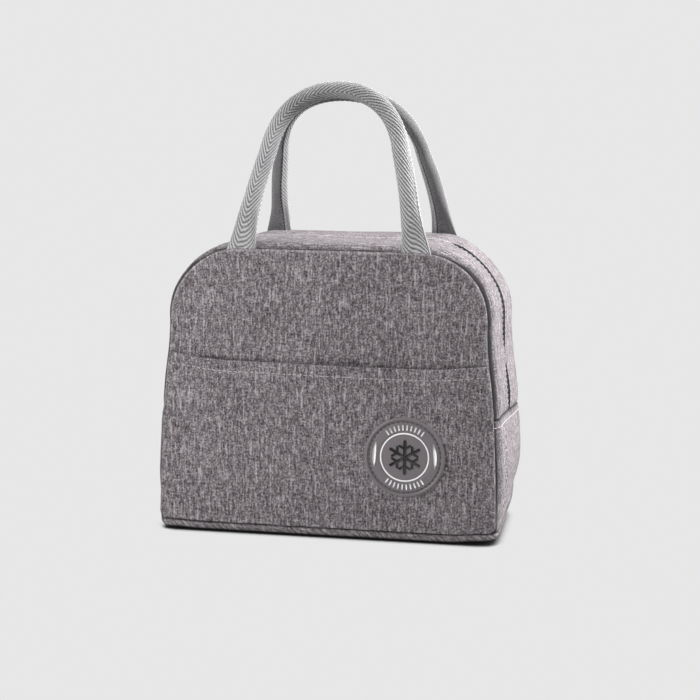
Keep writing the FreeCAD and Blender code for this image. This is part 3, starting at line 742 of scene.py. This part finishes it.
def handle_webbing(name):
    """Herringbone webbing folded round a filler cord, flat where its ends are sewn into the seam."""
    steps, around, front = 680, 88, name == "front"
    x, up, nx, nz, run = (part[:, None] for part in handle_line(name, steps))
    total = run[-1, 0]
    foot = np.minimum(run, total - run)
    full = smooth(foot - 5 * MM, 38 * MM)
    half_across = (5.3 + 3.9 * np.exp(-(foot / (19 * MM)) ** 1.3)) * MM
    if not front:
        half_across = half_across - 1.2 * MM * smooth(up - 50 * MM, 40 * MM)
    half_deep = (1.3 + 3.8 * full) * MM
    power = 3.2 - 1.2 * full
    turn = np.linspace(0, 2 * pi, around, endpoint=False)
    ahead, aside = np.cos(turn), np.sin(turn)
    # The folded edge turns from one side of the front handle to the other, and stays inside the rear one.
    twist = radians(90) * np.cos(pi * run / total) if front else radians(-18)
    lap = ((turn - 1.5 * pi - twist) / (2 * pi) % 1.0) * HANDLE_GIRTH
    spine = RIB_SPINE + 5.5 * MM * smooth(run / total - 0.4, 0.4)
    ridge = np.abs(np.sin(pi * (run + np.abs(lap - spine) * RIB_SLOPE) / RIB_PITCH)) ** 1.3
    rope = 0.62 + 0.38 * np.sin(2 * pi * run / ROPE_PITCH)
    selvage = hump(lap - 1.5 * MM, 1.0 * MM) * rope + 0.6 * hump(HANDLE_GIRTH - lap - 1.0 * MM, 0.6 * MM)
    from_join = np.minimum(lap, HANDLE_GIRTH - lap)
    valley = hump(from_join - 0.1 * MM, 0.4 * MM) + 0.9 * hump(lap - 3.2 * MM, 0.5 * MM)
    bare = smooth(lap, 1.2 * MM) * smooth(12 * MM - lap, 1.5 * MM) * (not front)
    selvage = selvage * (1 - bare)
    relief = ((0.42 * ridge - 0.22) * (1 - bare) + 0.75 * selvage - 0.5 * valley * (1 - 0.6 * bare)) * MM
    relief = relief * (0.3 + 0.7 * full)
    wobble = 0.3 * MM * noise(run, np.zeros_like(run), 22 * MM, 51)
    reach_across = half_across * superellipse(ahead, power) + relief * ahead
    reach_deep = half_deep * superellipse(aside, power) + relief * aside + wobble
    points = handle_place(name, x + nx * reach_across, up + nz * reach_across, reach_deep)
    stand_off = HANDLE_OUT + BURIED * sin(HANDLE_SHAPES[name][3]) - HALF_DEPTH + 1.8 * MM
    points[..., 1] += stand_off * (1 - smooth(foot, 30 * MM)) * (1 if front else -1)
    faces = tube_faces(steps, around, flip=front, caps=(1, -1))
    uv = np.stack(np.broadcast_arrays(lap, run), -1).reshape(-1, 2)
    piece = make_mesh(f"handle_{name}", points.reshape(-1, 3), faces, uv)
    tone = np.clip(0.245 + 0.74 * ridge + 0.5 * selvage - 0.6 * valley, 0, 1) * (1 - bare) + 0.42 * bare
    # Painted shade: the webbing grows darker towards the top of the arch.
    keep(piece, "rib", tone * (1 - 0.22 * smooth(up - 62 * MM, 34 * MM)))
    return piece


# ---- zip

ZIP_PITCH = 1.5 * MM


def zip_tape(name, sign):
    """The zip's woven tape, below the folded edge of the strip."""
    along = np.linspace(-2 * MM, STRIP_LENGTH + 2 * MM, 260)[:, None]
    across = np.linspace(0.4, 11, 9) * MM
    return grid_piece(name, strip_points(along, sign * across, 1.7 * MM), across, along, flip=sign > 0)


def zip_teeth(name, sign):
    """Nylon coil: one small rounded loop after another along the tape's edge."""
    turn = np.linspace(0, 2 * pi, 6, endpoint=False)[:, None]
    shares = np.array([0.0, 0.12, 0.5, 0.88, 1.0])
    girth = np.array([0.25, 0.5, 0.55, 0.5, 0.25]) * MM
    start = 3 * MM + (0.0 if sign < 0 else ZIP_PITCH / 2)
    rings = []
    for along in np.arange(start, STRIP_LENGTH - 3 * MM, ZIP_PITCH):
        centre = strip_points(np.full(5, along), sign * (0.15 + 2.0 * shares) * MM, 1.1 * MM)
        _, _, nx, nz = (float(part) for part in strip_frame(along))
        out, ahead = np.array([nx, 0, nz]), np.array([-nz, 0, nx])
        rings.append(centre[:, None] + girth[:, None, None] * (np.cos(turn) * out * 1.1 + np.sin(turn) * ahead * 0.95))
    return tubes(name, rings, [1, 2], flip=sign < 0)


# ---- foil lining and seam tapes

LINING_PLANE = -(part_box("lining_front_upper")[0].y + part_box("lining_front_upper")[1].y) / 2
LINING_INSET = HEIGHT - (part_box("lining_front_upper")[1].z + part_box("lining_gusset_front")[1].z) / 2
LINING_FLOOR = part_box("lining_base")[1].z
TAPE_RADIUS = 2.0 * MM
TAPE_HALF_TURN = radians(146)


def lining_path(inset):
    return side_path(LINING_INSET + inset, LINING_FLOOR - LINING_INSET, LINING_INSET + FOOT_RADIUS)


def crinkle(u, v, seed):
    """The foil's creases: low waves, and sharper folds between them."""
    fold = np.abs(noise(u + 0.6 * v, v - 0.5 * u, 21 * MM, seed))
    return 0.5 * MM * noise(u, v, 26 * MM, seed + 1) + 0.55 * MM * np.minimum(fold, 0.35) / 0.35


def wall_lining(name, sign):
    """The foil inside the front or rear wall, from the floor to the top."""
    def place(x, z, depth):
        free = smooth(wall_inset(x, z, 0.0) - LINING_INSET, 10 * MM)
        return settle(x, sign * (LINING_PLANE - 0.9 * crinkle(x, z, 61 + sign) * free - depth), z)
    return panel_piece(name, lining_path, [(0.0, 0.0)], place, flip=sign < 0)[0]


def strip_lining(name, sign):
    """The foil inside one half of the zip strip. Beside the zip it rises to its tape."""
    along = np.linspace(-1 * MM, STRIP_LENGTH + 1 * MM, 300)[:, None]
    across = np.concatenate([np.linspace(2.6 * MM, 14 * MM, 9), np.linspace(17 * MM, LINING_PLANE, 18)])
    x, z, nx, nz = strip_frame(along)
    inner = smooth(across - 5 * MM, 8 * MM)
    beside_tape = strip_out(along, sign * across) - 2.2 * MM
    under_foam = -LINING_INSET - 0.8 * crinkle(along, across, 71) * smooth(LINING_PLANE - across, 8 * MM)
    out = beside_tape * (1 - inner) + under_foam * inner
    return grid_piece(name, settle(x + out * nx, sign * across, z + out * nz), across, along, flip=sign < 0)


def side_lining(name, flip):
    """The foil inside a side wall, below the zip."""
    z = np.linspace(LINING_FLOOR, FOLD, 30)[:, None]
    y = np.linspace(-LINING_PLANE, LINING_PLANE, 50)
    edge = smooth(LINING_PLANE - np.abs(y), 8 * MM) * smooth(z - LINING_FLOOR, 8 * MM)
    x = HALF_WIDTH - z * tan(LEAN) - LINING_INSET - crinkle(y, z, 81) * edge * smooth(FOLD - z, 6 * MM)
    return grid_piece(name, settle(flip * x, y, z), y, z, flip=flip > 0)


def base_lining():
    """The foil on the floor of the bag."""
    half = HALF_WIDTH - LINING_INSET - LINING_FLOOR * tan(LEAN)
    x = np.linspace(-half, half, 80)[:, None]
    y = np.linspace(-LINING_PLANE, LINING_PLANE, 50)
    edge = smooth(half - np.abs(x), 8 * MM) * smooth(LINING_PLANE - np.abs(y), 8 * MM)
    return grid_piece("lining_floor", settle(x, y, LINING_FLOOR + crinkle(x, y, 91) * edge), x, y)


def seam_tape(name, sign):
    """A woven tape folded over the inside seam, all the way round, and its length."""
    path = lining_path(TAPE_RADIUS)
    floor = np.linspace(-path[0, 0], path[0, 0], 60)[1:-1]
    top = np.linspace(path[-1, 0], -path[-1, 0], 30)[1:-1]
    across = np.concatenate([path[:, 0], top, -path[::-1, 0], floor])
    up = np.concatenate([path[:, 1], np.full_like(top, path[-1, 1]), path[::-1, 1], np.full_like(floor, path[0, 1])])
    ahead = np.stack([np.roll(part, -1) - np.roll(part, 1) for part in (across, up)], -1)
    ahead /= np.linalg.norm(ahead, axis=1, keepdims=True)
    turn = np.linspace(-TAPE_HALF_TURN, TAPE_HALF_TURN, 15)
    run = np.concatenate([[0], np.cumsum(np.hypot(np.diff(across), np.diff(up)))])[:, None]
    girth = TAPE_RADIUS + 0.25 * MM * noise(run, turn * TAPE_RADIUS, 9 * MM, 95)
    to_middle, to_inside = girth * np.cos(turn - pi / 4), girth * np.sin(turn + pi / 4)
    grid = settle(across[:, None] - ahead[:, 1:] * to_middle, sign * (LINING_PLANE - TAPE_RADIUS - to_inside),
                  up[:, None] + ahead[:, :1] * to_middle)
    closed = np.concatenate([grid, grid[:1]])
    run = np.concatenate([run, run[-1:] + 3 * MM])
    return grid_piece(name, closed, turn * TAPE_RADIUS, run, flip=sign > 0), float(run[-1, 0])


# ---- materials


def feed(tree, made, inputs):
    """Give a node's inputs their values, or other nodes' outputs."""
    for key, given in dict(inputs).items():
        if isinstance(given, bpy.types.NodeSocket):
            tree.links.new(given, made.inputs[key])
        else:
            made.inputs[key].default_value = given


def node(tree, kind, inputs=(), **settings):
    """A shader node with its settings and its inputs, each a value or another node's output."""
    made = tree.nodes.new(kind)
    for key, setting in settings.items():
        setattr(made, key, setting)
    feed(tree, made, inputs)
    return made


def cloth_coordinates(tree, stretch, turn=0.0):
    uv = node(tree, "ShaderNodeUVMap", uv_map="cloth").outputs[0]
    return node(tree, "ShaderNodeMapping", {"Vector": uv, "Scale": stretch, "Rotation": (0, 0, turn)}).outputs[0]


def calc(tree, operation, first, second=0.0):
    return node(tree, "ShaderNodeMath", {0: first, 1: second}, operation=operation).outputs[0]


def weighted(tree, *terms):
    """The sum of (value, weight) pairs."""
    parts = [calc(tree, "MULTIPLY", value, weight) for value, weight in terms]
    total = parts[0]
    for part in parts[1:]:
        total = calc(tree, "ADD", total, part)
    return total


def above(tree, value, level):
    return calc(tree, "SUBTRACT", value, level)


def noise_at(tree, u, v, detail, roughness):
    """Noise with the given numbers of features in a metre along each direction of the cloth."""
    inputs = {"Vector": cloth_coordinates(tree, (u, v, 1)), "Scale": 1.0, "Detail": detail, "Roughness": roughness}
    return node(tree, "ShaderNodeTexNoise", inputs, noise_dimensions="2D").outputs[0]


def wave_at(tree, length, along_u, turn=0.0):
    """A wave of threads. It repeats about every 0.63 of the given length in metres."""
    where = cloth_coordinates(tree, (1 / length, 1 / length, 1), turn)
    return node(tree, "ShaderNodeTexWave", {"Vector": where, "Scale": 0.5},
                bands_direction="X" if along_u else "Y").outputs[1]


def read(tree, name):
    return node(tree, "ShaderNodeAttribute", attribute_name=name).outputs["Fac"]


def ramp(tree, factor, *stops):
    """A colour for each position from 0 to 1, given as (position, colour)."""
    made = node(tree, "ShaderNodeValToRGB", {"Fac": factor})
    elements = made.color_ramp.elements
    while len(elements) < len(stops):
        elements.new(0.5)
    for element, (position, colour) in zip(elements, stops):
        element.position = position
        element.color = (*colour, 1)
    return made.outputs[0]


def mix(tree, factor, first, second):
    """Mix two colours, each given as (red, green, blue) or as a node's output."""
    first, second = (given if isinstance(given, bpy.types.NodeSocket) else (*given, 1) for given in (first, second))
    return node(tree, "ShaderNodeMix", {0: factor, 6: first, 7: second}, data_type="RGBA").outputs[2]


def scaled(colour, share):
    return tuple(c * share for c in colour)


def new_material(name):
    material = bpy.data.materials.new(name)
    material.use_nodes = True
    return material, material.node_tree


def finish_material(material, colour, height, strength, depth, inputs):
    """Give a Principled shader its colour, its bump, and its other inputs by their socket names."""
    tree = material.node_tree
    bump = node(tree, "ShaderNodeBump", {"Height": height, "Strength": strength, "Distance": depth}).outputs[0]
    feed(tree, tree.nodes["Principled BSDF"], {"Base Color": colour, "Normal": bump, **inputs})
    return material


def heather_cloth():
    """Grey heather plain weave: mixed light and dark fibres, slubs along the warp, fine ribs."""
    material, tree = new_material("heather_cloth")
    speck = noise_at(tree, 820, 760, 2, 0.8)
    blotch = noise_at(tree, 330, 240, 3, 0.65)
    warp = noise_at(tree, 760, 170, 2, 0.6)
    weft = noise_at(tree, 190, 800, 2, 0.6)
    slub = calc(tree, "MAXIMUM", above(tree, noise_at(tree, 640, 62, 1, 0.4), 0.59))
    cloud = above(tree, noise_at(tree, 38, 30, 3, 0.6), 0.5)
    fibres = weighted(tree, (speck, 0.52), (blotch, 0.25), (warp, 0.30), (weft, 0.15))
    tone = weighted(tree, (fibres, 0.845), (slub, 0.48), (cloud, 0.07))
    dark, mid, light = (0.042, 0.036, 0.040), (0.156, 0.139, 0.148), (0.40, 0.371, 0.386)
    colour = ramp(tree, tone, (0.395, dark), (0.515, mid), (0.65, light))
    # Painted shade: the cloth turns near-black in seam grooves, along the pocket's mouth, in the zip's slit and under
    # the base.
    colour = mix(tree, read(tree, "painted_seam_shade"), colour, (0.012, 0.011, 0.012))
    # Painted highlight: the cloth turns light along the walls' rims and the zip's front lip.
    colour = mix(tree, read(tree, "painted_edge_highlight"), colour, (0.6, 0.58, 0.59))
    threads = calc(tree, "MAXIMUM", wave_at(tree, 0.62 * MM, True), wave_at(tree, 0.62 * MM, False))
    height = weighted(tree, (threads, 0.5), (fibres, 0.9))
    return finish_material(material, colour, height, 0.6, 0.3 * MM, {
        "Roughness": 0.9, "Specular IOR Level": 0.1, "Sheen Weight": 0.03, "Sheen Roughness": 0.5})


def plain_material(name, colour, roughness, grain=0.1, metallic=0.0):
    """Moulded or cast: one colour with a fine grain of lighter and darker specks."""
    material, tree = new_material(name)
    place = node(tree, "ShaderNodeTexCoord").outputs["Object"]
    speck = node(tree, "ShaderNodeTexNoise", {"Vector": place, "Scale": 900.0, "Detail": 3.0}).outputs[0]
    colour = mix(tree, speck, scaled(colour, 1 - grain), scaled(colour, 1 + grain))
    return finish_material(material, colour, speck, 0.3, 0.1 * MM, {"Roughness": roughness, "Metallic": metallic})


def webbing_material():
    """Grey herringbone webbing: light ribs over darker gaps, with fine threads along each rib."""
    material, tree = new_material("herringbone_webbing")
    grain = noise_at(tree, 900, 900, 3, 0.7)
    soil = noise_at(tree, 60, 40, 2, 0.5)
    tone = weighted(tree, (read(tree, "rib"), 0.72), (above(tree, grain, 0.5), 0.55), (above(tree, soil, 0.5), 0.2))
    colour = ramp(tree, tone, (0.12, (0.035, 0.034, 0.036)), (0.42, (0.19, 0.188, 0.193)), (0.8, (0.50, 0.497, 0.50)))
    return finish_material(material, colour, grain, 0.5, 0.25 * MM, {"Roughness": 0.8, "Sheen Weight": 0.2})


def foil_material():
    """Aluminised lining film: satin, embossed with small diamonds and finely creased."""
    material, tree = new_material("foil_lining")
    emboss = calc(tree, "MULTIPLY", wave_at(tree, 3.4 * MM, True, 0.785), wave_at(tree, 3.4 * MM, False, 0.785))
    crease = noise_at(tree, 160, 160, 4, 0.6)
    cloud = noise_at(tree, 24, 24, 3, 0.6)
    colour = ramp(tree, cloud, (0.3, (0.46, 0.465, 0.475)), (0.7, (0.64, 0.645, 0.655)))
    roughness = ramp(tree, crease, (0.3, (0.3, 0.3, 0.3)), (0.7, (0.46, 0.46, 0.46)))
    height = weighted(tree, (emboss, 0.5), (crease, 1.0))
    return finish_material(material, colour, height, 0.45, 0.4 * MM, {"Metallic": 0.7, "Roughness": roughness})


def tape_material(name, colour):
    """Narrow woven tape: fine cross ribs with a lighter thread here and there."""
    material, tree = new_material(name)
    tone = weighted(tree, (wave_at(tree, 0.7 * MM, False), 0.5), (noise_at(tree, 900, 900, 2, 0.6), 0.6))
    woven = ramp(tree, tone, (0.25, scaled(colour, 0.5)), (0.8, scaled(colour, 1.5)))
    return finish_material(material, woven, tone, 0.5, 0.25 * MM, {"Roughness": 0.8})


heather = heather_cloth()
webbing = webbing_material()
foil = foil_material()
seam_tape_cloth = tape_material("seam_tape_cloth", (0.11, 0.108, 0.112))
thread = plain_material("thread", (0.42, 0.40, 0.41), 0.6)
badge_rubber = plain_material("badge_rubber", (0.150, 0.133, 0.142), 0.5, grain=0.15)
badge_dark = plain_material("badge_dark", (0.022, 0.02, 0.021), 0.45)
badge_white = plain_material("badge_white", (0.86, 0.85, 0.86), 0.5, grain=0.05)
tape_cloth = tape_material("zip_tape_cloth", (0.03, 0.029, 0.031))
coil_plastic = plain_material("zip_coil_plastic", (0.03, 0.03, 0.032), 0.35)
zip_metal = plain_material("zip_metal", (0.16, 0.16, 0.165), 0.34, grain=0.2, metallic=0.85)
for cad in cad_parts.values():
    cad.data.materials.clear()
    cad.data.materials.append(zip_metal)

# ---- the pieces

FOLD_START = (0, 0, FOLD)
FOLD_END = (0, 0, FOLD + 50 * MM)


def finish_piece(piece, material, slot, replaced=(), body=None, between=None):
    """Material, the CAD nodes that the piece stands for, and the body it rides on; with between, the piece is only
    baked in place. The slot is not used.
    """
    piece.data.materials.append(material)
    if replaced:
        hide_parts(*replaced)
    if body:
        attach(piece, body)
    if between:
        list(between)
        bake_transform(piece)
    return piece


def halves(*stems):
    return [f"{stem}_{half}" for stem in stems for half in ("lower", "upper")]


def stitched(name, line, normal, **fold):
    finish_piece(stitch_run(name, line, normal), thread, "heather_fabric", **fold)


# The bodies and the points on the front and the rear fold, for a cloth that crosses it.
FOLDS = {name: ("lower_bag", f"{name}_flap", FOLD_START, FOLD_END) for name in ("front", "rear")}

for name, sign in (("front", -1), ("rear", 1)):
    fold = FOLDS[name]
    cloth = finish_piece(wall(f"{name}_wall", sign), heather, "heather_fabric",
                         halves(f"{name}_panel", f"foam_{name}"), between=fold)
    strip = finish_piece(zip_strip(f"zip_strip_{name}", sign), heather, "heather_fabric",
                         (f"zip_gusset_{name}", f"foam_gusset_{name}"), between=fold)
    foil_wall = finish_piece(wall_lining(f"lining_{name}", sign), foil, "foil_lining", halves(f"lining_{name}"),
                             between=fold)
    foil_strip = finish_piece(strip_lining(f"lining_strip_{name}", sign), foil, "foil_lining",
                              (f"lining_gusset_{name}",), between=fold)
    tape, tape_length = seam_tape(f"seam_tape_{name}", sign)
    finish_piece(tape, seam_tape_cloth, "binding_tape", halves(f"binding_{name}"), between=fold)
    zip_cloth = finish_piece(zip_tape(f"zip_tape_cloth_{name}", sign), tape_cloth, "zip_tape",
                             (f"zip_tape_{name}",), between=fold)
    finish_piece(zip_teeth(f"zip_teeth_{name}", sign), coil_plastic, "zip_coil", (f"zip_coil_{name}",), between=fold)
    along = np.linspace(2 * MM, STRIP_LENGTH - 2 * MM, 700)
    _, _, nx, nz = strip_frame(along)
    stitched(f"zip_stitches_{name}", strip_points(along, np.full_like(along, sign * (ZIP_EDGE + 3.2 * MM))),
             np.stack([nx, 0 * nx, nz], -1), between=fold)
    bend = (f"{name}_flap", f"{name}_handle", tuple(handle_place(name, 0.0, -3 * MM, 0.0)),
            tuple(handle_place(name, 0.0, 30 * MM, 0.0)))
    handle = finish_piece(handle_webbing(name), webbing, "handle_webbing",
                          (f"handle_webbing_{name}", f"handle_core_{name}"), between=bend)

for name, flip, below_fold in (("left", -1, STRIP_LENGTH + 4.5 * MM), ("right", 1, -4.5 * MM)):
    cloth = finish_piece(lower_side(f"side_cloth_{name}", flip > 0), heather, "heather_fabric",
                         (f"side_panel_{name}", f"foam_side_{name}"), body="lower_bag")
    foil_side = finish_piece(side_lining(f"lining_side_{name}_foil", flip), foil, "foil_lining",
                             (f"lining_side_{name}",), body="lower_bag")
    deep = np.linspace(-HALF_DEPTH + 3 * MM, HALF_DEPTH - 3 * MM, 200)
    stitched(f"side_stitches_{name}", strip_points(np.full_like(deep, below_fold), deep), (flip, 0, 0),
             body="lower_bag")

floor_cloth = finish_piece(base(), heather, "heather_fabric", ("base_panel", "foam_base"), body="lower_bag")
floor_foil = finish_piece(base_lining(), foil, "foil_lining", ("lining_base",), body="lower_bag")
slip_pocket = finish_piece(pocket_cloth(), heather, "heather_fabric", halves("front_pocket"), between=FOLDS["front"])
hem = np.linspace(-1, 1, 320) * (HALF_WIDTH - (MOUTH - HEM) * tan(LEAN) - 3 * MM)
stitched("hem_stitches", pocket_points(hem, mouth_height(hem) - HEM), (0, -1, 0), between=FOLDS["front"])
finish_piece(badge(), badge_rubber, "badge_rubber", ("round_badge",), body="lower_bag")
for piece, material in ((badge_marks(), badge_white), (badge_star(), badge_dark), (badge_seam(), badge_dark)):
    finish_piece(piece, material, "badge_rubber", body="lower_bag")

# ---- floor, light and camera

PAPER = (0.799, 0.799, 0.799)
LIGHT_TARGET = Vector((0, 0, 0.1))
AIM = Vector((0, 0, 0.0926))
DISTANCE, AZIMUTH, ELEVATION, ROLL = 1.150, radians(10.7), radians(9.3), radians(0.55)


def backdrop(name, paper, points, faces):
    """A piece of the studio, whose material glows, and its node tree and the node that glows."""
    piece = make_mesh(name, points, faces, [(p[0], p[1]) for p in points])
    material, tree = new_material(paper)
    glow = node(tree, "ShaderNodeEmission", {"Color": (*PAPER, 1), "Strength": 1.0})
    tree.links.new(glow.outputs[0], tree.nodes["Material Output"].inputs["Surface"])
    piece.data.materials.append(material)
    return piece, tree, glow


def sweep():
    """A pale seamless floor and backdrop that glows and shows only the bag's soft contact shadow, painted into its
    glow.
    """
    half, near, far, rise, bend = 4.0, -3.0, 3.0, 3.5, 1.2
    profile = [(near, 0.0), *arc(far - bend, bend, bend, -pi / 2, 0, 16), (far, rise)]
    points = [(x, y, z) for x in (-half, half) for y, z in profile]
    count = len(profile)
    faces = [(k, count + k, count + k + 1, k + 1) for k in range(count - 1)]
    _, tree, glow = backdrop("studio_sweep", "studio_paper", points, faces)
    closeness = node(tree, "ShaderNodeAmbientOcclusion", {"Distance": 0.011}, samples=8).outputs["AO"]
    # Painted shadow: ambient occlusion darkens the floor's glow under and beside the bag.
    shadow = ramp(tree, closeness, (0.0, (0.0, 0.0, 0.0)), (0.42, (0.04, 0.04, 0.04)), (0.58, PAPER))
    tree.links.new(shadow, glow.inputs["Color"])


def surround(reach=5.0, height=7.0, sides=64):
    """A plain pale drum round the sweep for the views from behind. It casts no light of its own."""
    ring = [(reach * cos(2 * pi * k / sides), reach * sin(2 * pi * k / sides)) for k in range(sides)]
    points = [(x, y, level) for level in (-0.002, height) for x, y in ring]
    faces = [(k, (k + 1) % sides, sides + (k + 1) % sides, sides + k) for k in range(sides)] + [tuple(range(sides))]
    drum, _, _ = backdrop("studio_surround", "studio_drum", points, faces)
    drum.visible_diffuse = drum.visible_glossy = drum.visible_shadow = False


def place_object(name, data, location, rotation):
    made = bpy.data.objects.new(name, data)
    made.location = location
    made.rotation_euler = rotation.to_euler()
    bpy.context.scene.collection.objects.link(made)
    return made


def area_light(name, place, size, power):
    light = bpy.data.lights.new(name, "AREA")
    light.shape, light.size, light.energy = "DISK", size, power
    place_object(name, light, place, (LIGHT_TARGET - Vector(place)).to_track_quat("-Z", "Y"))


def camera():
    back = Vector((sin(AZIMUTH) * cos(ELEVATION), -cos(AZIMUTH) * cos(ELEVATION), sin(ELEVATION)))
    data = bpy.data.cameras.new("camera")
    data.lens, data.sensor_width, data.clip_start = 89.0, 36, 0.05
    data.shift_x, data.shift_y = 0.0083, 0.0425
    turn = (-back).to_track_quat("-Z", "Y") @ Quaternion((0, 0, 1), ROLL)
    bpy.context.scene.camera = place_object("camera", data, AIM + back * DISTANCE, turn)


sweep()
surround()
area_light("key", (1.03, 0.2, 0.72), 0.6, 36)
area_light("top", (0.1, 0.15, 1.4), 0.9, 17)
area_light("fill", (-0.50, -0.48, 0.38), 0.3, 4.4)
world = bpy.data.worlds.new("studio")
world.use_nodes = True
feed(world.node_tree, world.node_tree.nodes["Background"], {0: (1, 1, 1, 1), 1: 0.375})
bpy.context.scene.world = world
bpy.context.scene.view_settings.view_transform = "Standard"
camera()
